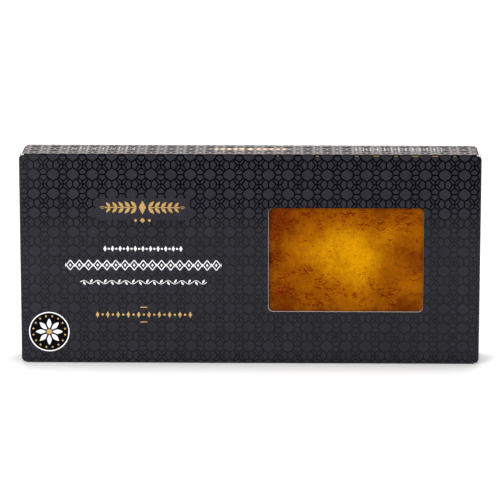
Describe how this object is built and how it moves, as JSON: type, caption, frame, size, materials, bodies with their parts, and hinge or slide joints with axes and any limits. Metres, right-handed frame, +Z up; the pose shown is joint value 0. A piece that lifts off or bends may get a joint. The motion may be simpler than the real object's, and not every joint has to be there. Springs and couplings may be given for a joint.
{
  "type": "boxed nougat block",
  "caption": "Slim shut carton standing on its long side, with a clear front window that shows a block of toasted nougat inside.",
  "frame": {"origin": "middle of the underside, on the surface that the pack stands on", "axes": "+X along the pack's length to the right as seen from the front, +Y from the front with the window to the back, +Z up"},
  "size_m": [0.2, 0.022, 0.093],
  "materials": {
    "printed_board": "matte black printed board with faint gloss lines, gold and white ornaments, white cut edges",
    "clear_film": "clear thin film, glossy",
    "toasted_nougat": null
  },
  "bodies": {
    "root": {"carton": "printed_board", "window_film": "clear_film", "nougat_block": "toasted_nougat"}
  },
  "joints": []
}
